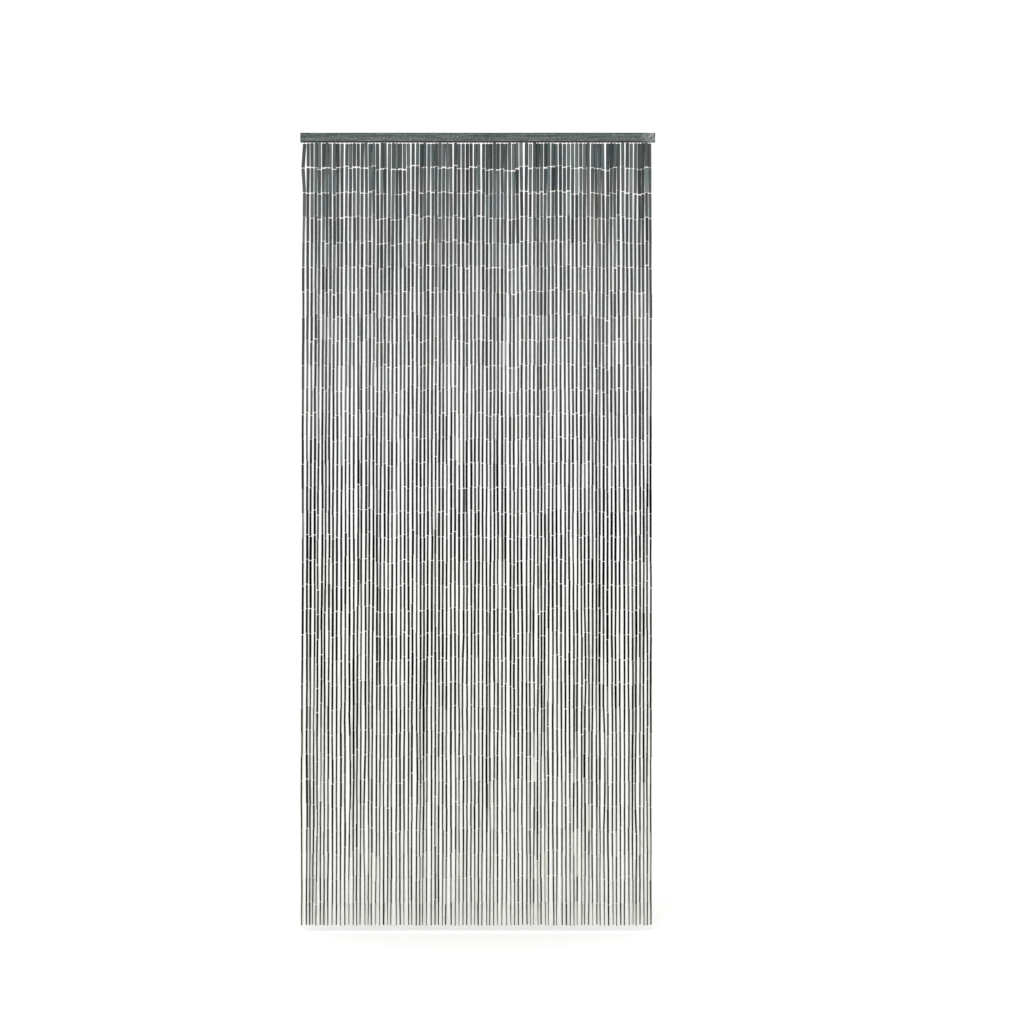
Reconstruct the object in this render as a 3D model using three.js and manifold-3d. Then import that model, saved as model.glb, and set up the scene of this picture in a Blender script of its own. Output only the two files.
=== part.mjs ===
// Bamboo door curtain on its header rail.
// Millimetres, +Z up, the front towards -Y and +X to the right of someone who faces the front.
// The origin is the centre of the rail's back face, which lies against the wall over the door.

import * as THREE from "three";
import { mergeVertices } from "three/addons/utils/BufferGeometryUtils.js";
import Module from "manifold-3d";

const wasm = await Module();
wasm.setup();

// Whole curtain: from the top of the rail to the end of the longest strand.
const dropHeight = 2000;

// Header rail: one planed batten with rounded long edges.
const railLength = 900;
const railHeight = 23;
const railDepth = 15;
const railEdgeRadius = 1.5;
const edgeArcSteps = 3;

// Hook strip: the row of hooks under the rail, as one thin strip that every strand is fused to.
const stripClearance = 0.3;
const stripHeight = 1.2;
const stripDepth = 4;
const stripEndMargin = 4; // past the centre lines of the outer strands

// Strands: 90 strings of bamboo tubes, each drawn as a square bar with a round tube's area.
const strandCount = 90;
const strandFieldWidth = 879; // between the centre lines of the outer strands
const strandFieldShift = -2; // the field hangs a little to the left of the rail's middle
const tubeDiameter = 7.6;
const barSide = tubeDiameter * Math.sqrt(Math.PI) / 2;
const barStretches = 8; // straight stretches of four tubes each
const neckSide = 2; // the wire loop between hook and first tube
const neckLength = { shortest: 1.2, longest: 3.4 };
const endStagger = 7; // how much shorter the shortest strand hangs

// How far a strand strays from its even place: its own hook, its own kinks and a slow sway
// that neighbours share. Neighbours still hang clear of each other at the largest strays.
const hookStray = 0.7;
const kinkStray = { top: 0.45, bottom: 0.9 };
const sway = { size: 1.2, perStrand: 0.45, downTheDrop: 1.9 };
const depthStray = 0.8;

const railTop = railHeight / 2;
const railUnderside = -railHeight / 2;
const stripTop = railUnderside - stripClearance;
const stripUnderside = stripTop - stripHeight;
const lowestEnd = railTop - dropHeight;
const strandPitch = strandFieldWidth / (strandCount - 1);
const middleStrand = (strandCount - 1) / 2;
const hangingY = -railDepth / 2;

// A repeatable scatter between -1 and 1 for one strand, one level of its drop and one kind of stray.
function scatter(strand, level, kind) {
  const wave = Math.sin(strand * 12.9898 + level * 78.233 + kind * 37.719) * 43758.5453;
  return 2 * (wave - Math.floor(wave)) - 1;
}

// The centre of a strand at one level: level 0 is its hook and level barStretches its lower end.
function strandPlace(strand, level) {
  const downDrop = level / barStretches;
  const kink = kinkStray.top + (kinkStray.bottom - kinkStray.top) * downDrop;
  const evenX = strandFieldShift + (strand - middleStrand) * strandPitch;
  const sharedX = sway.size * Math.sin(strand * sway.perStrand + downDrop * sway.downTheDrop);
  return {
    x: evenX + sharedX + hookStray * scatter(strand, 0, 1) + kink * scatter(strand, level, 2),
    y: hangingY + depthStray * scatter(strand, level, 3) * downDrop,
  };
}

// The square sections of one strand, from inside the hook strip to its lower end.
function strandSections(strand) {
  const neck = THREE.MathUtils.mapLinear(
    scatter(strand, 0, 4), -1, 1, neckLength.shortest, neckLength.longest);
  const firstTube = stripUnderside - neck;
  const lowerEnd = lowestEnd + endStagger * (1 + scatter(strand, 0, 5)) / 2;
  const hook = strandPlace(strand, 0);
  const sections = [
    { ...hook, z: stripTop - stripHeight / 2, side: neckSide },
    { ...hook, z: firstTube, side: neckSide },
  ];
  for (let level = 0; level <= barStretches; level++) {
    const z = THREE.MathUtils.lerp(firstTube, lowerEnd, level / barStretches);
    sections.push({ ...strandPlace(strand, level), z, side: barSide });
  }
  return sections;
}

// A closed four-sided bar through square sections { x, y, z, side }, listed from the top down.
function squareBar(sections) {
  const positions = [];
  const triangles = [];
  for (const { x, y, z, side } of sections) {
    const half = side / 2;
    positions.push(x - half, y - half, z, x + half, y - half, z);
    positions.push(x + half, y + half, z, x - half, y + half, z);
  }
  for (let section = 0; section + 1 < sections.length; section++) {
    for (let corner = 0; corner < 4; corner++) {
      const upper = 4 * section + corner;
      const upperNext = 4 * section + (corner + 1) % 4;
      triangles.push(upper, upper + 4, upperNext + 4, upper, upperNext + 4, upperNext);
    }
  }
  const last = 4 * (sections.length - 1);
  triangles.push(0, 1, 2, 0, 2, 3);
  triangles.push(last, last + 2, last + 1, last, last + 3, last + 2);
  const geometry = new THREE.BufferGeometry();
  geometry.setAttribute("position", new THREE.Float32BufferAttribute(positions, 3));
  geometry.setIndex(triangles);
  return geometry;
}

function toSolid(geometry) {
  const shell = geometry.clone();
  shell.deleteAttribute("normal");
  shell.deleteAttribute("uv");
  const merged = mergeVertices(shell);
  return new wasm.Manifold(new wasm.Mesh({
    numProp: 3,
    vertProperties: new Float32Array(merged.attributes.position.array),
    triVerts: new Uint32Array(merged.index.array),
  }));
}

function toGeometry(solid) {
  const { vertProperties, triVerts } = solid.getMesh();
  const geometry = new THREE.BufferGeometry();
  geometry.setAttribute("position", new THREE.BufferAttribute(vertProperties, 3));
  geometry.setIndex(new THREE.BufferAttribute(triVerts, 1));
  return geometry;
}

// Header rail: its section lies in the depth and height, and it is extruded along X.
function makeHeaderRail() {
  const back = 0;
  const front = -railDepth;
  const r = railEdgeRadius;
  const section = new THREE.Shape();
  section.absarc(back - r, railTop - r, r, 0, Math.PI / 2);
  section.absarc(front + r, railTop - r, r, Math.PI / 2, Math.PI);
  section.absarc(front + r, railUnderside + r, r, Math.PI, 1.5 * Math.PI);
  section.absarc(back - r, railUnderside + r, r, 1.5 * Math.PI, 2 * Math.PI);
  const geometry = new THREE.ExtrudeGeometry(section, {
    depth: railLength,
    steps: 1,
    curveSegments: edgeArcSteps,
    bevelEnabled: false,
  });
  const alongX = new THREE.Matrix4().makeBasis(
    new THREE.Vector3(0, 1, 0), new THREE.Vector3(0, 0, 1), new THREE.Vector3(1, 0, 0));
  geometry.applyMatrix4(alongX);
  const paintedWood = new THREE.MeshStandardMaterial({ color: 0x5f6564, roughness: 0.7, metalness: 0 });
  const rail = new THREE.Mesh(geometry, paintedWood);
  rail.name = "header_rail";
  rail.position.x = -railLength / 2;
  return rail;
}

// Bead strands: the hook strip and the 90 strands that hang from it, as one solid.
function makeBeadStrands() {
  const stripLength = strandFieldWidth + 2 * stripEndMargin;
  const strip = new THREE.BoxGeometry(stripLength, stripDepth, stripHeight);
  strip.translate(strandFieldShift, hangingY, stripTop - stripHeight / 2);
  let curtain = toSolid(strip);
  for (let strand = 0; strand < strandCount; strand++) {
    curtain = curtain.add(toSolid(squareBar(strandSections(strand))));
  }
  const paintedBamboo = new THREE.MeshStandardMaterial({ color: 0x9a9c96, roughness: 0.6, metalness: 0 });
  const strands = new THREE.Mesh(toGeometry(curtain), paintedBamboo);
  strands.name = "bead_strands";
  return strands;
}

const doorCurtain = new THREE.Group();
doorCurtain.add(makeHeaderRail(), makeBeadStrands());

export default doorCurtain;
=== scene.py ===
import math
import random

import bmesh
import bpy
import numpy as np
from mathutils import Matrix, Vector


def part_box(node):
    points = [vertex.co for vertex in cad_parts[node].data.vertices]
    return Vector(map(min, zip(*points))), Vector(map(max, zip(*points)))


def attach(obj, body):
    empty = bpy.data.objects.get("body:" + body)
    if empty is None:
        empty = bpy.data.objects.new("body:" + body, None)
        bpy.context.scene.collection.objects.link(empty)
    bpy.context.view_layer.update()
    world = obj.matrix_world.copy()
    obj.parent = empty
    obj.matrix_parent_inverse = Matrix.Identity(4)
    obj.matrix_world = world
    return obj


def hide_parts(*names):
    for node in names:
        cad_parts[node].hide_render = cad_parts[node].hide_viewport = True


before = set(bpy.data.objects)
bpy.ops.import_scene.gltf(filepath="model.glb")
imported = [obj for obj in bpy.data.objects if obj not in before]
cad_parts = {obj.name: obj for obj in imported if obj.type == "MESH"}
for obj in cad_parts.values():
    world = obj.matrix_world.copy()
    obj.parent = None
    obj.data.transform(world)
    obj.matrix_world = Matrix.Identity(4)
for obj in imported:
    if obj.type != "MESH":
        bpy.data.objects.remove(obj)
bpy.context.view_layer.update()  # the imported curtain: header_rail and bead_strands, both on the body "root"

# A door curtain of bamboo tubes strung on wire, hanging from a slim wooden batten.
# Metres, +Z up, front towards -Y. The origin is the middle of the batten's back face.

chance = random.Random(4217)


# Small helpers

def toLinear(hexColour):
    parts = [int(hexColour[i:i + 2], 16) / 255 for i in (1, 3, 5)]
    return [p / 12.92 if p <= 0.04045 else ((p + 0.055) / 1.055) ** 2.4 for p in parts] + [1.0]


def gaussWithin(limit):
    # a normal scatter round 0, cut off at so many spreads
    return max(-limit, min(limit, chance.gauss(0, 1)))


def turnWithin(limit):
    # an even scatter, in radians
    return chance.uniform(-limit, limit)


def deselectAll():
    if bpy.context.object and bpy.context.object.mode != "OBJECT":
        bpy.ops.object.mode_set(mode="OBJECT")
    bpy.ops.object.select_all(action="DESELECT")


def pick(piece, kind, test):
    # selects the verts, edges or faces of a piece in edit mode that pass the test, and no others
    mesh = bmesh.from_edit_mesh(piece.data)
    bpy.ops.mesh.select_mode(type={"verts": "VERT", "edges": "EDGE", "faces": "FACE"}[kind])
    bpy.ops.mesh.select_all(action="DESELECT")
    mesh.normal_update()
    for part in getattr(mesh, kind):
        if test(part):
            part.select_set(True)
    mesh.select_flush_mode()
    bmesh.update_edit_mesh(piece.data)


def faceOutwards():
    bpy.ops.mesh.select_all(action="SELECT")
    bpy.ops.mesh.normals_make_consistent(inside=False)


def shadeSmooth(piece, sharpFrom):
    # leaves edit mode and shades smooth all but the edges that turn by more, in degrees
    deselectAll()
    piece.select_set(True)
    bpy.ops.object.shade_smooth_by_angle(angle=math.radians(sharpFrom))


def place(pattern, matrix):
    # one more copy of a pattern, with its own mesh, put in its place
    copy = pattern.copy()
    copy.data = pattern.data.copy()
    copy.data.transform(matrix)
    bpy.context.scene.collection.objects.link(copy)
    return copy


def joinCopies(copies, name):
    deselectAll()
    for piece in copies:
        piece.select_set(True)
    bpy.context.view_layer.objects.active = copies[0]
    bpy.ops.object.join()
    joined = bpy.context.object
    joined.name = joined.data.name = name
    return joined


def addNode(tree, kind, inputs={}, output=0, stops=(), **settings):
    # adds one node, fills its inputs with values or with other nodes' outputs, and gives back
    # one of its outputs; a ramp's stops are places, each with a hex colour or a grey value
    node = tree.nodes.new("ShaderNode" + kind)
    for name, setting in settings.items():
        setattr(node, name, setting)
    for socket, given in inputs.items():
        if isinstance(given, bpy.types.NodeSocket):
            tree.links.new(given, node.inputs[socket])
        else:
            node.inputs[socket].default_value = given
    while stops and len(node.color_ramp.elements) < len(stops):
        node.color_ramp.elements.new(0.5)
    for i, (position, shade) in enumerate(stops):
        colour = toLinear(shade) if isinstance(shade, str) else (shade, shade, shade, 1)
        node.color_ramp.elements[i].position = position
        node.color_ramp.elements[i].color = colour
    return node.outputs[output]


def newMaterial(name, **constants):
    material = bpy.data.materials.new(name)
    material.use_nodes = True
    tree = material.node_tree
    shader = tree.nodes["Principled BSDF"]
    for socket, value in constants.items():
        shader.inputs[socket.replace("_", " ")].default_value = value
    return material, tree, shader


# Camera: straight on, a little below the middle and tipped up, so the lower end looks wider.
photoView = {
    "distance": 5.0,
    "height": -1.108,
    "lookAt": (0.0868, -0.0075, -0.9505),
    "lens": 69.60,  # mm, on a sensor that is 36 mm wide
}
camera = bpy.data.objects.new("camera", bpy.data.cameras.new("camera"))
bpy.context.scene.collection.objects.link(camera)
camera.data.lens, camera.data.sensor_width = photoView["lens"], 36
camera.location = (photoView["lookAt"][0], -photoView["distance"], photoView["height"])
facing = (Vector(photoView["lookAt"]) - camera.location).to_track_quat("-Z", "Y")
camera.rotation_euler = facing.to_euler()
bpy.context.scene.camera = camera


# Where the strands hang. These values are the ones that the solids were made from.
strandRow = {
    "count": 90,
    "fieldWidth": 0.879,  # between the outer strands
    "fieldShift": -0.002,
    "hangingY": -0.0075,
    "stretches": 8,  # straight stretches of four tubes each
    "hookStray": 0.0007,
    "kinkTop": 0.00045,
    "kinkBottom": 0.0009,
    "swaySize": 0.0012,
    "swayPerStrand": 0.45,
    "swayDownTheDrop": 1.9,
    "depthStray": 0.0008,
    "lowestEnd": -1.9885,
}
strayKinds = {"hook": 1, "kink": 2, "depth": 3, "end": 5}


def scatter(strand, level, stray):
    # the same repeatable scatter between -1 and 1 that places the solid strands
    wave = math.sin(strand * 12.9898 + level * 78.233 + strayKinds[stray] * 37.719) * 43758.5453
    return 2 * (wave - math.floor(wave)) - 1


def strandPlace(strand, level):
    row = strandRow
    downDrop = level / row["stretches"]
    kink = row["kinkTop"] + (row["kinkBottom"] - row["kinkTop"]) * downDrop
    pitch = row["fieldWidth"] / (row["count"] - 1)
    x = row["fieldShift"] + (strand - (row["count"] - 1) / 2) * pitch
    sway = strand * row["swayPerStrand"] + downDrop * row["swayDownTheDrop"]
    x += row["swaySize"] * math.sin(sway)
    x += row["hookStray"] * scatter(strand, 0, "hook") + kink * scatter(strand, level, "kink")
    return x, row["hangingY"] + row["depthStray"] * scatter(strand, level, "depth") * downDrop


# Bamboo tubes: thin canes sawn into short lengths, with a hole right through for the wire.
# What changes down a strand is listed as (tube, value) or (joint, value, spread), from 0 at
# the top.
tube = {
    "perStrand": 32,
    "strandsPerBlock": 10,  # in one joined piece
    "length": 0.0568,
    "diameter": 0.00788,
    "diameterSpread": 0.035,  # as a share
    # the upper rows are thicker and hang nearly edge to edge
    "thicker": [(0, 1.12), (1, 1.09), (3, 1.07), (6, 1.04), (10, 1.0)],
    "bore": 0.0036,
    "sides": 12,
    "rimBevel": 0.0005,
    "sharpFrom": 40,
    # the kinds of cane: how many in twelve, and a bow, a wider end or a node at some height
    "kinds": {
        "plainTube": (5, {}),
        "bowedTube": (3, {"bow": 0.00030}),
        "flaredTube": (3, {"flare": 1.05}),
        "nodeTube": (1, {"ring": 0.011}),
    },
    "ringHalf": 0.0022,  # half the height of a node
    "ringSwell": 1.06,

    "firstTop": (-0.0136, -0.0162),
    "jointGaps": [(1, 0.0024, 0.0011), (2, 0.0019, 0.0009), (4, 0.0015, 0.0008),
                  (8, 0.0013, 0.0007), (13, 0.0008, 0.0006), (32, 0.0009, 0.0006)],
    "leastGap": 0.0003,
    "firstSpread": 0.0040,  # how far the first joints stray up and down
    "likeNeighbour": 0.55,  # and how alike they are from strand to strand
    "lengthSpread": 0.0012,
    "lengthTaper": 0.024,  # the first tubes are longer than the last ones by this share
    "lastShorter": 0.005,
    "evenedOver": 3,  # so many of the last tubes are cut to bring a strand to its length
    "endStagger": 0.003,  # and the strands' lower ends lie within this of each other

    "hookStray": 0.0014,  # how far each top strays aside from its place in the solids
    "settles": [(0, 1.0), (1, 0.7), (2, 0.4), (4, 0.0)],  # what is left of that at each joint
    "kink": 0.00015,  # how far each joint strays by itself
    "wander": 0.00024,  # how much more the lowest joints hand on to those below them
    "leastClear": 0.0001,  # between the tubes of neighbouring strands
    "pushes": 60,
    # the first strand is hooked in further along and swings back out
    "outerStrand": [0.0042, 0, 0.0025, 0.0018],
    # strands that hang in a bow: strand, its first and last joint, and how far it goes aside
    "bows": [(2, 22, 27, -0.0028), (12, 23, 28, 0.0030), (16, 25, 30, -0.0026),
             (29, 24, 28, 0.0027), (41, 20, 24, -0.0025), (52, 26, 31, 0.0026),
             (63, 22, 26, -0.0027), (72, 19, 23, 0.0026), (77, 23, 28, 0.0030),
             (85, 24, 28, -0.0027)],
}


def downStrand(table, level, column=1):
    places, values = [entry[0] for entry in table], [entry[column] for entry in table]
    return float(np.interp(level, places, values))


def jointPlaces():
    # the x and y of every joint, as arrays [strand][joint], and every tube's girth as a share
    row, count, per = strandRow, strandRow["count"], tube["perStrand"]
    x = np.zeros((count, per + 1))
    y = np.zeros((count, per + 1))
    girths = np.zeros((count, per))
    for strand in range(count):
        corners = [strandPlace(strand, level) for level in range(row["stretches"] + 1)]
        drift = 0
        hookX, hookY = chance.gauss(0, tube["hookStray"]), chance.gauss(0, tube["hookStray"])
        for joint in range(per + 1):
            level = joint * row["stretches"] / per
            low = min(int(level), row["stretches"] - 1)
            share = level - low
            left = downStrand(tube["settles"], joint)
            drift += chance.gauss(0, tube["wander"]) * joint / per
            x[strand, joint] = corners[low][0] * (1 - share) + corners[low + 1][0] * share
            x[strand, joint] += drift + hookX * left + chance.gauss(0, tube["kink"])
            y[strand, joint] = corners[low][1] * (1 - share) + corners[low + 1][1] * share
            y[strand, joint] += hookY * left + chance.gauss(0, tube["kink"])
        for i in range(per):
            spread = 1 + gaussWithin(2) * tube["diameterSpread"]
            girths[strand, i] = downStrand(tube["thicker"], i) * spread
    x[0, :len(tube["outerStrand"])] += tube["outerStrand"]
    for strand, first, last, aside in tube["bows"]:
        x[strand, first:last + 1] += aside * np.sin(np.linspace(0, math.pi, last - first + 1))
    return x, y, girths


def pushApart(x, y, girths):
    # neighbours that would overlap at a joint push each other aside
    thickest = np.maximum(girths[:, 1:], girths[:, :-1])
    atJoint = np.hstack([girths[:, :1], thickest, girths[:, -1:]]) * tube["diameter"]
    least = (atJoint[1:] + atJoint[:-1]) / 2 + tube["leastClear"]
    for turn in range(tube["pushes"]):
        dx, dy = np.diff(x, axis=0), np.diff(y, axis=0)
        apart = np.hypot(dx, dy)
        push = np.clip(least - apart, 0, None) / 2 / np.maximum(apart, 1e-6)
        x[:-1] -= push * dx
        x[1:] += push * dx
        y[:-1] -= push * dy
        y[1:] += push * dy


def tubeEnds():
    # the top and bottom point of every tube, as arrays [strand][tube] of x, y, z, and its girth
    count, per = strandRow["count"], tube["perStrand"]
    x, y, girths = jointPlaces()
    pushApart(x, y, girths)
    tops = np.zeros((count, per, 3))
    bottoms = np.zeros((count, per, 3))
    like, firstStray = tube["likeNeighbour"], 0
    for strand in range(count):
        top = chance.uniform(*tube["firstTop"])
        end = strandRow["lowestEnd"] + tube["endStagger"] * (1 + scatter(strand, 0, "end")) / 2
        end += wireEye["tail"]
        gaps = [max(tube["leastGap"], downStrand(tube["jointGaps"], joint)
                    + gaussWithin(2) * downStrand(tube["jointGaps"], joint, 2))
                for joint in range(1, per)]
        mean = (top - end - sum(gaps) + tube["lastShorter"]) / per
        lengths = [mean * (1 + tube["lengthTaper"] * (0.5 - (i + 0.5) / per)) for i in range(per)]
        lengths[-1] -= tube["lastShorter"]
        ownStray = math.sqrt(1 - like * like) * chance.gauss(0, tube["firstSpread"])
        firstStray = like * firstStray + ownStray
        lengths[0] += firstStray
        for i in range(1, per - 1):
            lengths[i] += gaussWithin(3) * tube["lengthSpread"]
        over = sum(lengths) + sum(gaps) - (top - end)
        for i in range(per - tube["evenedOver"], per):
            lengths[i] -= over / tube["evenedOver"]
        z = top
        for i in range(per):
            tops[strand, i] = x[strand, i], y[strand, i], z
            z -= lengths[i]
            bottoms[strand, i] = x[strand, i + 1], y[strand, i + 1], z
            z -= gaps[i] if i < per - 1 else 0
    return tops, bottoms, girths


# Each tube has a cell of its own in its block's UV map: once round from left to right, its
# outside in the middle, and the rims, sawn ends and bore in narrow bands above and below it.
tubeMap = {
    "name": "OFBake",
    "columns": 27,
    "rows": 12,
    "margin": (0.03, 0.015),  # as shares of a cell, as are the next three
    "outside": (0.08, 0.92),
    "rim": 0.06,
    "end": 0.025,
}


# A tube's points lie on its wall, on its two rims just inside that, or round its hole.
def onWall(point):
    return point.xy.length > 0.98 * tube["diameter"] / 2


def inHole(point):
    return point.xy.length < 0.7 * tube["diameter"] / 2


def unrollTube(piece, half):
    mesh = bmesh.from_edit_mesh(piece.data)
    layer = mesh.loops.layers.uv.new(tubeMap["name"])
    for face in mesh.faces:
        centre = face.calc_center_median()
        facing = math.atan2(centre.y, centre.x)
        lining = all(inHole(vert.co) for vert in face.verts)
        for corner in face.loops:
            at = corner.vert.co
            aside = (math.atan2(at.y, at.x) - facing + math.pi) % (2 * math.pi) - math.pi
            if onWall(at):
                up = float(np.interp(at.z, (-half, half), tubeMap["outside"]))
            else:
                band = tubeMap["end"] if inHole(at) else tubeMap["rim"]
                up = 1 - band if at.z > 0 else 1.0 if lining else band
            corner[layer].uv = (0.5 + (facing + aside) / (2 * math.pi), up)
    bmesh.update_edit_mesh(piece.data)


def moveToCell(piece, cell):
    layers = piece.data.uv_layers
    spots = np.zeros(2 * len(layers[0].uv), np.float32)
    layers[0].uv.foreach_get("vector", spots)
    layers.remove(layers[0])  # a copy shares its map with its pattern, so it gets a new one
    margin, grid = np.array(tubeMap["margin"]), np.array((tubeMap["columns"], tubeMap["rows"]))
    corner = np.array((cell % tubeMap["columns"], cell // tubeMap["columns"]))
    spots = (corner + margin + (1 - 2 * margin) * spots.reshape(-1, 2)) / grid
    layers.new(name=tubeMap["name"]).uv.foreach_set("vector", spots.astype(np.float32).ravel())


def modelTube(name, bow=0.0, flare=1.0, ring=None):
    radius, half = tube["diameter"] / 2, tube["length"] / 2
    deselectAll()
    bpy.ops.mesh.primitive_cylinder_add(vertices=tube["sides"], radius=radius, depth=2 * half,
                                        end_fill_type="NGON", location=(0, 0, 0), calc_uvs=False)
    piece = bpy.context.object
    piece.name = name
    bpy.ops.object.mode_set(mode="EDIT")
    pick(piece, "faces", lambda f: abs(f.normal.z) > 0.9)  # the two sawn ends
    bpy.ops.mesh.inset(thickness=radius - tube["bore"] / 2)
    bpy.ops.mesh.bridge_edge_loops()  # drills the hole
    pick(piece, "edges", lambda e: all(onWall(v.co) for v in e.verts)
         and e.verts[0].co.z * e.verts[1].co.z > 0)  # the two rims
    bpy.ops.mesh.bevel(offset=tube["rimBevel"], segments=1, affect="EDGES")
    unrollTube(piece, half)
    cuts = [0.0] if bow else []
    if ring is not None:
        cuts += [ring - tube["ringHalf"], ring, ring + tube["ringHalf"]]
    for height in cuts:
        pick(piece, "faces", lambda f: all(onWall(v.co) for v in f.verts))
        bpy.ops.mesh.bisect(plane_co=(0, 0, height), plane_no=(0, 0, 1))
    if bow:
        pick(piece, "verts", lambda v: abs(v.co.z) < half / 2)  # those of the cut
        bpy.ops.transform.translate(value=(bow, 0, 0))
    if ring is not None:  # a node of the cane: a low swelling
        pick(piece, "verts", lambda v: abs(v.co.z - ring) < tube["ringHalf"] / 2)
        bpy.ops.transform.resize(value=(tube["ringSwell"], tube["ringSwell"], 1),
                                 center_override=(0, 0, ring))
    if flare != 1:
        pick(piece, "verts", lambda v: v.co.z > 0.9 * half)  # the upper end
        bpy.ops.transform.resize(value=(flare, flare, 1), center_override=(0, 0, half))
    faceOutwards()
    shadeSmooth(piece, tube["sharpFrom"])
    for face in piece.data.polygons:  # the outside and its rims are painted, the rest is bare
        bare = any(inHole(piece.data.vertices[v].co) for v in face.vertices)
        face.material_index = 1 if bare else 0
    return piece


# Wire: each tube is threaded on one wire whose ends are turned into eyes, hooked into the next
# ones. The first is hooked into a staple under the batten.
wireEye = {
    "wire": 0.0007,
    "sides": 4,
    "strandsPerBlock": 15,
    "top": 0.0055,  # the straight part, from here down to the bend
    "bend": 0.0,
    "radius": 0.00125,
    "turn": 325,  # degrees
    "steps": 8,
    "sharpFrom": 60,
    "tail": 0.0010,  # how far the last eye hangs below the last tube
    "jointTurn": 0.5,  # how far the eyes of a joint turn either way, in radians
    "topTurn": 0.3,  # the same at the staple
    "crossTurn": 0.2,  # how far the lower eye is from square to the upper one
}
staple = {
    "top": -0.0090,
    "bend": -0.0121,
    "radius": 0.0010,
    "turn": 180,
    "steps": 5,
    "askew": 0.2,  # radians either way
}


def bendWire(name, shape, secondLeg=False):
    # a straight wire whose lower end is turned round into an eye, or into a staple's two legs
    deselectAll()
    bpy.ops.mesh.primitive_circle_add(vertices=wireEye["sides"], radius=wireEye["wire"] / 2,
                                      fill_type="NGON",
                                      location=(-shape["radius"], 0, shape["top"]))
    piece = bpy.context.object
    piece.name = name
    bpy.ops.object.transform_apply(location=True)
    bpy.ops.object.mode_set(mode="EDIT")
    bpy.ops.mesh.select_all(action="SELECT")
    down = (0, 0, shape["bend"] - shape["top"])
    bpy.ops.mesh.extrude_region_move(TRANSFORM_OT_translate={"value": down})
    bpy.ops.mesh.spin(steps=shape["steps"], angle=math.radians(shape["turn"]),
                      center=(0, 0, shape["bend"]), axis=(0, 1, 0))
    if secondLeg:
        up = (0, 0, shape["top"] - shape["bend"])
        bpy.ops.mesh.extrude_region_move(TRANSFORM_OT_translate={"value": up})
    faceOutwards()
    shadeSmooth(piece, wireEye["sharpFrom"])
    return piece


# Header rail: a planed softwood batten with eased edges.
rail = {
    "edgeRadius": 0.0015,
    "edgeSteps": 4,
    "endEdge": 0.0005,
    "endSteps": 2,
    "stretches": 18,
    "planing": 0.00015,  # how far the planed front and underside wander in and out
    "sharpFrom": 35,
}


def modelRail(name):
    low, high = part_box("header_rail")
    size, middle = high - low, (high + low) / 2
    deselectAll()
    bpy.ops.mesh.primitive_cube_add(size=1, location=middle, scale=size)
    piece = bpy.context.object
    piece.name = piece.data.name = name
    bpy.ops.object.transform_apply(location=True, scale=True)
    bpy.ops.object.mode_set(mode="EDIT")
    pick(piece, "edges", lambda e: abs(e.verts[0].co.x - e.verts[1].co.x) > size.x / 2)
    bpy.ops.mesh.bevel(offset=rail["edgeRadius"], segments=rail["edgeSteps"], affect="EDGES")
    pick(piece, "edges", lambda e: e.verts[0].co.x == e.verts[1].co.x)
    bpy.ops.mesh.bevel(offset=rail["endEdge"], segments=rail["endSteps"], affect="EDGES")
    for cut in range(1, rail["stretches"]):
        bpy.ops.mesh.select_all(action="SELECT")
        at = low.x + size.x * cut / rail["stretches"]
        bpy.ops.mesh.bisect(plane_co=(at, 0, 0), plane_no=(1, 0, 0))
        pick(piece, "verts", lambda v: abs(v.co.x - at) < 1e-5 and v.co.y < middle.y)
        waver = [gaussWithin(2) * rail["planing"] / 2 for axis in "YZ"]
        bpy.ops.transform.translate(value=(0, *waver))
    shadeSmooth(piece, rail["sharpFrom"])
    return piece


# Materials

# A Mix node's settings for colours, which are its inputs 6 and 7: laid over or multiplied.
overlaid = {"output": 2, "data_type": "RGBA"}
multiplied = {"output": 2, "data_type": "RGBA", "blend_type": "MULTIPLY"}


def fibreNoise(tree, size, detail=3.0, roughness=0.55):
    # noise drawn out into fibres or spots that are so many metres long in X, Y and Z
    stretched = addNode(tree, "Mapping", {
        "Vector": addNode(tree, "TexCoord", output="Object"),
        "Scale": [1 / length for length in size],
    })
    return addNode(tree, "TexNoise", {"Vector": stretched, "Scale": 1.0, "Detail": detail,
                                      "Roughness": roughness})


def dressSurface(tree, shader, colour, pattern, roughness, relief=None, bump=None):
    # a colour, a roughness that goes from its first value to its second as the pattern goes
    # from 0 to 1, and a bump that follows the relief
    tree.links.new(colour, shader.inputs["Base Color"])
    least, most = roughness
    rough = addNode(tree, "Math", {0: pattern, 1: most - least, 2: least}, operation="MULTIPLY_ADD")
    tree.links.new(rough, shader.inputs["Roughness"])
    if bump:
        raised = addNode(tree, "Bump", {"Strength": bump[0], "Distance": bump[1], "Height": relief})
        tree.links.new(raised, shader.inputs["Normal"])


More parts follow.
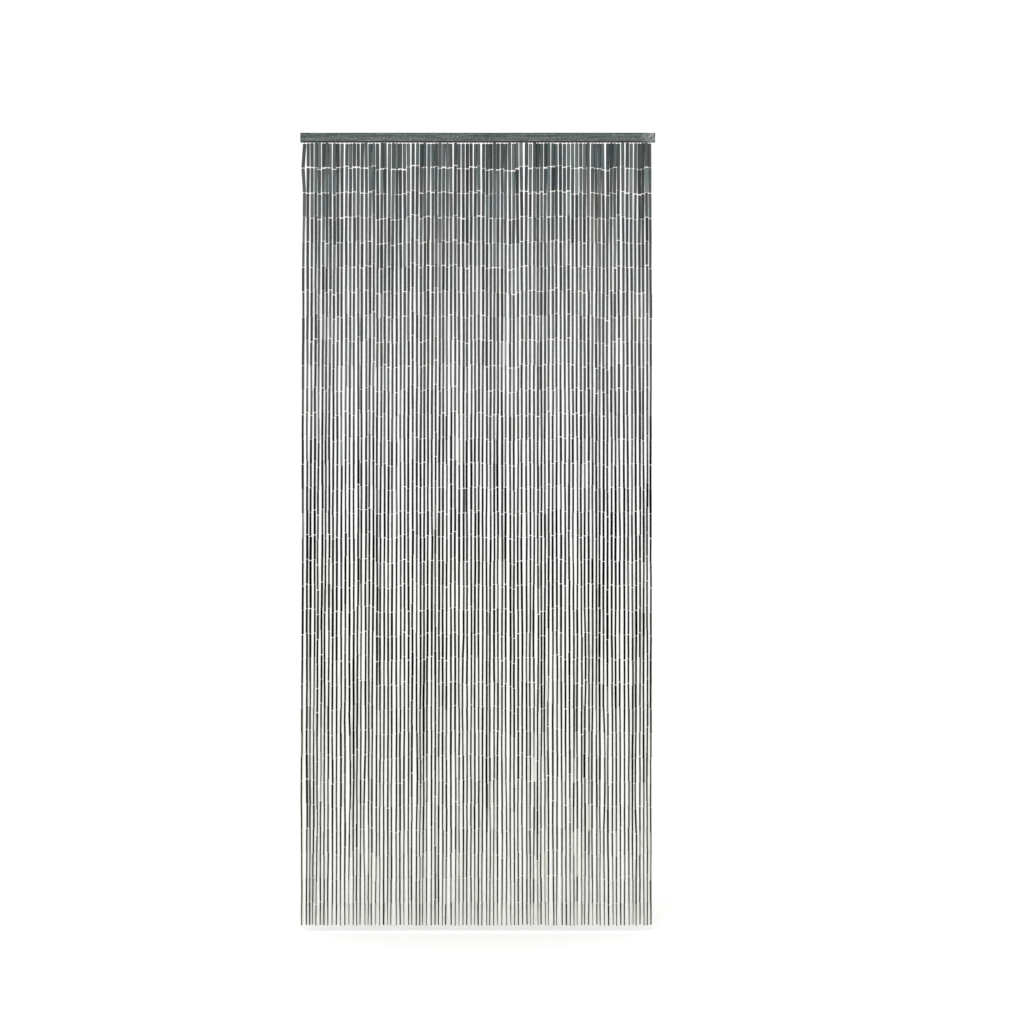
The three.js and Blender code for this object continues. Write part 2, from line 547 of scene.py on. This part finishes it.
# The tubes' coat of sprayed charcoal paint, and the pale cane beside it.
coat = {
    "drop": 2.0,  # the next four run down this drop, from 0 at the rail to 1 at the lowest ends
    # half the stripe's width, in tube radii
    "stripe": [(0.0, 1.25), (0.03, 1.10), (0.07, 0.86), (0.15, 0.74), (0.24, 0.68), (0.50, 0.645),
               (0.65, 0.62), (0.85, 0.52), (0.97, 0.42), (1.0, 0.30)],
    "charcoal": [(0.0, "#545a5b"), (0.20, "#515150"), (0.32, "#4f4f4f"), (0.41, "#2c2c2b"),
                 (0.50, "#101010"), (0.65, "#060606"), (0.80, "#0b0b0a"), (0.92, "#1e1f1c"),
                 (1.0, "#222320")],
    # how many times lighter or darker the paint is on a tube one spread away from the mean
    "uneven": [(0.0, 1.4), (0.34, 1.5), (0.48, 3.2), (0.60, 5.5), (0.80, 6.5), (1.0, 4.0)],
    # the pale cane's colour down the drop: its greying near the rail and towards the lower ends is painted
    # shade
    "bare": [(0.0, "#c9cbcb"), (0.2, "#dddddf"), (0.4, "#ededee"), (0.6, "#efefec"),
             (1.0, "#e6e7e2")],

    # the paint's hue drifts from patch to patch, and a little from tube to tube
    "hues": [(0.0, "#ccd6dd"), (0.22, "#cddad4"), (0.42, "#d6dad8"), (0.60, "#dbd9d7"),
             (0.78, "#dcd5d9"), (1.0, "#dadacb")],
    "patchesPerMetre": 12,
    "patchRange": (0.34, 0.66),
    "ownHue": 0.12,

    "edgeSoftness": 0.11,
    "raggedEdge": 0.10,
    "rimRubbed": (0.006, 0.020),  # from a tube's ends, as shares of its length
    "rimCover": 0.85,  # how much of the paint is left at the very rim
    "rimRagged": 0.02,

    "fibre": (0.0007, 0.0007, 0.030),
    "mottle": (0.004, 0.004, 0.012),
    "paintStreaks": (0.6, 1.5),  # brightness in the darkest and in the lightest fibre
    "caneStreaks": [(0.30, "#d1d0cb"), (0.48, "#f5f5f4"), (1.0, "#ffffff")],
    "caneStreaked": 0.6,
    "caneClouds": [(0.30, "#e3e3df"), (0.55, "#ffffff")],
    "caneClouded": 0.5,
    "thickness": 0.25,  # the coat's relief, against that of the fibres
    "roughness": (0.55, 0.75),
    "bump": (0.35, 0.00012),  # strength, and metres from low to high

    # what each tube gets of its own
    "widthSpread": 0.05,
    "leanSpread": 0.10,
    "toneMix": (0.9, -0.3),  # its own tone, and its load of paint: more paint is darker
    "keeps": [(0, 0.3), (8, 0.35), (12, 0.5), (31, 0.6)],  # how alike it is to the tube above
}


def downTheDrop(tree, downDrop, table):
    # a value that changes down the drop; a ramp holds 1 at most, so it is drawn smaller first
    most = max(value for at, value in table)
    shares = [(at, value / most) for at, value in table]
    ramp = addNode(tree, "ValToRGB", {0: downDrop}, stops=shares)
    return addNode(tree, "Math", {0: ramp, 1: most}, operation="MULTIPLY")


def makeSprayedBamboo():
    # Bleached bamboo, sprayed with matt charcoal paint from the front and the back: the paint
    # lies on the crest of each tube, covers it all near the rail and thins to a narrow stripe
    # lower down, with the pale cane beside it. Fine fibres show as streaks along both; real
    # ones are about 0.2 mm apart, and they are drawn 0.7 mm wide to show.
    material, tree, shader = newMaterial("sprayedBamboo", IOR=1.5, Specular_IOR_Level=0.02)
    spot = addNode(tree, "TexCoord", output="Object")
    height = addNode(tree, "SeparateXYZ", {0: spot}, output="Z")
    downDrop = addNode(tree, "Math", {0: height, 1: -1 / coat["drop"]},
                       operation="MULTIPLY", use_clamp=True)
    across = addNode(tree, "Attribute", output="Fac", attribute_name="acrossCoat")
    offCrest = addNode(tree, "Math", {0: across}, operation="ABSOLUTE")
    along = addNode(tree, "Attribute", output="Fac", attribute_name="alongTube")
    own = addNode(tree, "Attribute", output="Vector", attribute_name="tubeCoat")
    load, tone, ownHue = (addNode(tree, "SeparateXYZ", {0: own}, output=axis) for axis in "XYZ")
    fibres = fibreNoise(tree, coat["fibre"])
    mottle = fibreNoise(tree, coat["mottle"], detail=2.0)

    # how far the stripe reaches from the crest
    halfWidth = downTheDrop(tree, downDrop, coat["stripe"])
    halfWidth = addNode(tree, "Math", {0: load, 1: coat["widthSpread"], 2: halfWidth},
                        operation="MULTIPLY_ADD")
    ragged = addNode(tree, "Math", {0: fibres, 1: coat["raggedEdge"], 2: -coat["raggedEdge"] / 2},
                     operation="MULTIPLY_ADD")
    halfWidth = addNode(tree, "Math", {0: halfWidth, 1: ragged}, operation="ADD")
    inner, outer = (addNode(tree, "Math", {0: halfWidth, 1: coat["edgeSoftness"]}, operation=side)
                    for side in ("SUBTRACT", "ADD"))
    covered = addNode(tree, "MapRange", {"Value": offCrest, "From Min": inner, "From Max": outer,
                                         "To Min": 1.0, "To Max": 0.0},
                      interpolation_type="SMOOTHSTEP")

    # the sawn rims are handled most, so the paint is rubbed thin there
    fromLower = addNode(tree, "Math", {0: 1.0, 1: along}, operation="SUBTRACT")
    fromEnd = addNode(tree, "Math", {0: along, 1: fromLower}, operation="MINIMUM")
    fromEnd = addNode(tree, "Math", {0: fibres, 1: coat["rimRagged"], 2: fromEnd},
                      operation="MULTIPLY_ADD")
    rubbed = addNode(tree, "MapRange", {"Value": fromEnd, "From Min": coat["rimRubbed"][0],
                                        "From Max": coat["rimRubbed"][1],
                                        "To Min": coat["rimCover"]})
    covered = addNode(tree, "Math", {0: covered, 1: rubbed}, operation="MULTIPLY", use_clamp=True)

    charcoal = addNode(tree, "ValToRGB", {0: downDrop}, stops=coat["charcoal"])
    patches = addNode(tree, "TexNoise", {"Vector": spot, "Scale": coat["patchesPerMetre"],
                                         "Detail": 1.0})
    patchHue = addNode(tree, "MapRange", {"Value": patches, "From Min": coat["patchRange"][0],
                                          "From Max": coat["patchRange"][1]})
    hue = addNode(tree, "Mix", {0: coat["ownHue"], 2: patchHue, 3: ownHue})
    hue = addNode(tree, "ValToRGB", {0: hue}, stops=coat["hues"])
    paint = addNode(tree, "Mix", {0: 1.0, 6: charcoal, 7: hue}, **multiplied)
    brightness = addNode(tree, "Math", {0: downTheDrop(tree, downDrop, coat["uneven"]), 1: tone},
                         operation="POWER")
    dark, light = coat["paintStreaks"]
    streaks = addNode(tree, "Math", {0: fibres, 1: light - dark, 2: dark}, operation="MULTIPLY_ADD")
    brightness = addNode(tree, "Math", {0: brightness, 1: streaks}, operation="MULTIPLY")
    paint = addNode(tree, "Mix", {0: 1.0, 6: paint, 7: brightness}, **multiplied)

    # the pale cane, greyed near the rail and towards the lower ends with painted shade
    cane = addNode(tree, "ValToRGB", {0: downDrop}, stops=coat["bare"])
    streaks = addNode(tree, "ValToRGB", {0: fibres}, stops=coat["caneStreaks"])
    cane = addNode(tree, "Mix", {0: coat["caneStreaked"], 6: cane, 7: streaks}, **multiplied)
    clouds = addNode(tree, "ValToRGB", {0: mottle}, stops=coat["caneClouds"])
    cane = addNode(tree, "Mix", {0: coat["caneClouded"], 6: cane, 7: clouds}, **multiplied)

    colour = addNode(tree, "Mix", {0: covered, 6: cane, 7: paint}, **overlaid)
    relief = addNode(tree, "Math", {0: covered, 1: coat["thickness"], 2: fibres},
                     operation="MULTIPLY_ADD")
    dressSurface(tree, shader, colour, fibres, coat["roughness"], relief, coat["bump"])
    return material


sawnEnd = {
    "fibre": (0.00035, 0.00035, 0.004),
    "cane": [(0.34, "#9c917a"), (0.50, "#d6cfbd"), (0.75, "#e2ddd0")],
    "roughness": (0.68, 0.88),
    "bump": (0.4, 0.0001),
}


def makeCutBamboo():
    # Sawn end grain and the drilled hole: bare straw-coloured cane, dull, with the dark dots of
    # cut fibres.
    material, tree, shader = newMaterial("sawnBamboo", IOR=1.5)
    dots = fibreNoise(tree, sawnEnd["fibre"], detail=2.0)
    grain = addNode(tree, "ValToRGB", {0: dots}, stops=sawnEnd["cane"])
    dressSurface(tree, shader, grain, dots, sawnEnd["roughness"], dots, sawnEnd["bump"])
    return material


zincCoat = {
    "patch": (0.0012, 0.0012, 0.0012),
    "zinc": [(0.35, "#b4b6b5"), (0.65, "#d6d7d5")],
    "roughness": (0.28, 0.53),
}


def makeGalvanisedWire():
    # Soft galvanised steel wire: pale zinc grey, satin, with faint dull patches.
    material, tree, shader = newMaterial("galvanisedWire", Metallic=1.0)
    patches = fibreNoise(tree, zincCoat["patch"], detail=2.0)
    zinc = addNode(tree, "ValToRGB", {0: patches}, stops=zincCoat["zinc"])
    dressSurface(tree, shader, zinc, patches, zincCoat["roughness"])
    return material


batten = {
    "paint": [(0.30, "#262d2d"), (0.44, "#3e4545"), (0.56, "#4f5656"), (0.70, "#707575")],
    # how long and how wide each grain is, and its share in the whole
    "grains": [((4.0, 0.0026), 0.4), ((0.050, 0.0018), 0.3), ((0.006, 0.0026), 0.3)],
    "contrast": 2.2,
    # painted shade on the rounded edges and the ends: its colour, how much of it, and how far in it fades
    "edgeShadeColour": "#24292a",
    "edgeShadeStrength": 0.75,
    "edgeShadeFade": (0.0006, 0.0030),  # metres from the edge
    "wornPaint": "#808581",
    "wornFrom": (0.410, 0.432),  # metres from the middle
    "wornPerMetre": 160,
    "wornRange": (0.34, 0.58),
    "roughness": (0.55, 0.75),
    "bump": (0.3, 0.0003),
}


def makePaintedBatten():
    # Planed softwood under one coat of matt charcoal paint: the grain shows through as fine
    # lengthwise streaks, the rounded edges and the ends are darkened with painted shade, and the
    # coat is thin and cloudy towards the right end.
    material, tree, shader = newMaterial("paintedSoftwood", IOR=1.5, Specular_IOR_Level=0.2)
    spot = addNode(tree, "TexCoord", output="Object")
    grain = 0.5 * (1 - batten["contrast"])
    for (length, width), share in batten["grains"]:
        streaks = fibreNoise(tree, (length, width, width), roughness=0.6)
        grain = addNode(tree, "Math", {0: streaks, 1: share * batten["contrast"], 2: grain},
                        operation="MULTIPLY_ADD")
    paint = addNode(tree, "ValToRGB", {0: grain}, stops=batten["paint"])

    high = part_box("header_rail")[1]
    fromEdges = {}
    for i, (axis, edge) in enumerate([("Z", high.z), ("X", high.x)]):
        aside = addNode(tree, "SeparateXYZ", {0: spot}, output=axis)
        aside = addNode(tree, "Math", {0: aside}, operation="ABSOLUTE")
        fromEdges[i] = addNode(tree, "Math", {0: edge, 1: aside}, operation="SUBTRACT")
    fromEdge = addNode(tree, "Math", fromEdges, operation="MINIMUM")
    # painted shade: the colour darkens within a few millimetres of the rounded edges and the ends
    arrisShade = addNode(tree, "MapRange", {"Value": fromEdge, "From Min": batten["edgeShadeFade"][0],
                                       "From Max": batten["edgeShadeFade"][1],
                                       "To Min": batten["edgeShadeStrength"], "To Max": 0.0})
    edgeShadeColour = toLinear(batten["edgeShadeColour"])
    colour = addNode(tree, "Mix", {0: arrisShade, 6: paint, 7: edgeShadeColour}, **overlaid)

    clouds = addNode(tree, "TexNoise", {"Vector": spot, "Scale": batten["wornPerMetre"],
                                        "Detail": 3.0})
    clouds = addNode(tree, "MapRange", {"Value": clouds, "From Min": batten["wornRange"][0],
                                        "From Max": batten["wornRange"][1]})
    towardsEnd = addNode(tree, "MapRange", {
        "Value": addNode(tree, "SeparateXYZ", {0: spot}, output="X"),
        "From Min": batten["wornFrom"][0], "From Max": batten["wornFrom"][1],
    })
    worn = addNode(tree, "Math", {0: clouds, 1: towardsEnd}, operation="MULTIPLY")
    wornPaint = toLinear(batten["wornPaint"])
    colour = addNode(tree, "Mix", {0: worn, 6: colour, 7: wornPaint}, **overlaid)
    dressSurface(tree, shader, colour, grain, batten["roughness"], grain, batten["bump"])
    return material


sprayedBamboo, sawnBamboo = makeSprayedBamboo(), makeCutBamboo()
galvanisedWire, paintedBatten = makeGalvanisedWire(), makePaintedBatten()
print("materials made")


# Building the pieces

def addAttribute(piece, name, values):
    # one number or three for each point of a piece, for its material to read
    kind, field = ("FLOAT", "value") if values.ndim == 1 else ("FLOAT_VECTOR", "vector")
    layer = piece.data.attributes.new(name, kind, "POINT")
    layer.data.foreach_set(field, values.astype(np.float32).ravel())


def coatTube(piece, top, bottom, girth, lean, own):
    # where each point lies across the stripe and along the tube, and what the tube has of its own
    points = np.zeros(3 * len(piece.data.vertices), np.float32)
    piece.data.vertices.foreach_get("co", points)
    x, z = points[0::3].astype(float), points[2::3].astype(float)
    along = (z - bottom.z) / (top.z - bottom.z)
    axisX = bottom.x + (top.x - bottom.x) * along
    across = (x - axisX) / (girth * tube["diameter"] / 2) - lean * coat["leanSpread"]
    addAttribute(piece, "acrossCoat", across)
    addAttribute(piece, "alongTube", along)
    addAttribute(piece, "tubeCoat", np.tile(own, (len(x), 1)))


def hangTubes(tops, bottoms, girths):
    patterns = [modelTube(name, **shape) for name, (share, shape) in tube["kinds"].items()]
    shares = [share for share, shape in tube["kinds"].values()]
    for pattern in patterns:
        pattern.data.materials.append(sprayedBamboo)
        pattern.data.materials.append(sawnBamboo)
    ownTone, fromLoad = coat["toneMix"]
    blocks = []
    for first in range(0, strandRow["count"], tube["strandsPerBlock"]):
        copies = []
        for strand in range(first, first + tube["strandsPerBlock"]):
            load, tone, lean = (gaussWithin(2) for value in range(3))
            for i in range(tube["perStrand"]):
                pattern = chance.choices(patterns, weights=shares)[0]
                top, bottom = Vector(tops[strand, i]), Vector(bottoms[strand, i])
                girth = girths[strand, i]
                turn = (top - bottom).to_track_quat("Z", "Y").to_matrix().to_4x4()
                spin = Matrix.Rotation(chance.uniform(0, 2 * math.pi), 4, "Z")
                flip = Matrix.Rotation(math.pi if chance.random() < 0.5 else 0, 4, "X")
                size = Matrix.Diagonal((girth, girth, (top - bottom).length / tube["length"], 1))
                piece = place(pattern, Matrix.Translation((top + bottom) / 2)
                              @ turn @ spin @ size @ flip)
                keep = downStrand(coat["keeps"], i)
                load, tone, lean = (keep * old + math.sqrt(1 - keep * keep) * gaussWithin(2)
                                    for old in (load, tone, lean))
                own = [load, ownTone * tone + fromLoad * load, chance.random()]
                coatTube(piece, top, bottom, girth, lean, own)
                moveToCell(piece, len(copies))
                copies.append(piece)
        blocks.append(joinCopies(copies, f"bambooTubes{len(blocks) + 1}"))
    for pattern in patterns:
        bpy.data.objects.remove(pattern)
    return blocks


def hangWires(tops, bottoms):
    pattern = bendWire("eyePattern", wireEye)
    pattern.data.materials.append(galvanisedWire)
    upsideDown = Matrix.Rotation(math.pi, 4, "X")
    # from the middle of a joint to the middle of each of its two eyes
    hooked = Vector((0, 0, wireEye["radius"] - wireEye["wire"] / 2))
    stapleFoot = staple["bend"] - staple["radius"]
    blocks = []
    for first in range(0, strandRow["count"], wireEye["strandsPerBlock"]):
        copies = []
        for strand in range(first, first + wireEye["strandsPerBlock"]):
            for joint in range(tube["perStrand"] + 1):
                spin = turnWithin(wireEye["jointTurn"]) + (math.pi / 2 if joint % 2 else 0)
                upper = lower = None
                if joint == 0:  # hooked into its staple
                    lower = Vector(tops[strand, 0])
                    lower.z = stapleFoot + wireEye["wire"] - wireEye["radius"]
                    spin = math.pi / 2 + turnWithin(wireEye["topTurn"])
                elif joint == tube["perStrand"]:  # the eye below the last tube
                    upper = Vector(bottoms[strand, joint - 1])
                    upper.z += -wireEye["tail"] + wireEye["radius"] + wireEye["wire"] / 2
                else:
                    middle = (Vector(bottoms[strand, joint - 1]) + Vector(tops[strand, joint])) / 2
                    upper, lower = middle + hooked, middle - hooked
                if upper is not None:
                    turn = Matrix.Rotation(spin, 4, "Z")
                    copies.append(place(pattern, Matrix.Translation(upper) @ turn))
                    spin += math.pi / 2
                if lower is not None:
                    spin += turnWithin(wireEye["crossTurn"]) if joint > 0 else 0
                    turn = Matrix.Rotation(spin, 4, "Z") @ upsideDown
                    copies.append(place(pattern, Matrix.Translation(lower) @ turn))
        blocks.append(joinCopies(copies, f"wireEyes{len(blocks) + 1}"))
    bpy.data.objects.remove(pattern)
    return blocks


def fitStaples(tops):
    pattern = bendWire("staplePattern", staple, secondLeg=True)
    pattern.data.materials.append(galvanisedWire)
    copies = []
    for strand in range(strandRow["count"]):
        x, y = tops[strand, 0][:2]
        turn = Matrix.Rotation(turnWithin(staple["askew"]), 4, "Z")
        copies.append(place(pattern, Matrix.Translation((x, y, 0)) @ turn))
    bpy.data.objects.remove(pattern)
    return joinCopies(copies, "railStaples")


tubeTops, tubeBottoms, tubeGirths = tubeEnds()
for block in hangTubes(tubeTops, tubeBottoms, tubeGirths):
    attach(block, "root")
    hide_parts("bead_strands")
print("bamboo tubes hung")

for block in hangWires(tubeTops, tubeBottoms) + [fitStaples(tubeTops)]:
    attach(block, "root")
    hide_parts("bead_strands")
print("wires hooked")

headerRail = modelRail("headerRail")
headerRail.data.materials.append(paintedBatten)
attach(headerRail, "root")
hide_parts("header_rail")
print("header rail fitted")


# Studio: a white room, a big soft lamp from the upper left front and a pale floor just under
# the strands.
studio = {
    "white": 1.10,
    "lampPower": 70,
    "lampSize": 2.2,
    "lampAt": (-0.3, -3.8, 0.9),
    "lampAim": (0, 0, -0.7),
    "floorGap": 0.015,
    "floorRadius": 14,
    "floorSides": 96,
    "floorPaint": "#f7f7f6",
}

world = bpy.data.worlds.new("whiteRoom")
bpy.context.scene.world = world
world.use_nodes = True
world.node_tree.nodes["Background"].inputs["Color"].default_value = (1, 1, 1, 1)
world.node_tree.nodes["Background"].inputs["Strength"].default_value = studio["white"]

lamp = bpy.data.objects.new("softLamp", bpy.data.lights.new("softLamp", "AREA"))
bpy.context.scene.collection.objects.link(lamp)
lamp.data.energy, lamp.data.size = studio["lampPower"], studio["lampSize"]
lamp.location = studio["lampAt"]
aim = Vector(studio["lampAim"]) - lamp.location
lamp.rotation_euler = aim.to_track_quat("-Z", "Y").to_euler()

deselectAll()
floorZ = strandRow["lowestEnd"] - studio["floorGap"]
bpy.ops.mesh.primitive_circle_add(vertices=studio["floorSides"], radius=studio["floorRadius"],
                                  fill_type="NGON", location=(0, 0, floorZ))
floor = bpy.context.object
floor.name = "studioFloor"
bpy.ops.object.transform_apply(location=True)
floorColour = toLinear(studio["floorPaint"])
floor.data.materials.append(newMaterial("whiteFloor", Base_Color=floorColour, Roughness=0.9)[0])

bpy.context.scene.view_settings.view_transform = "Standard"

print("scene ready")
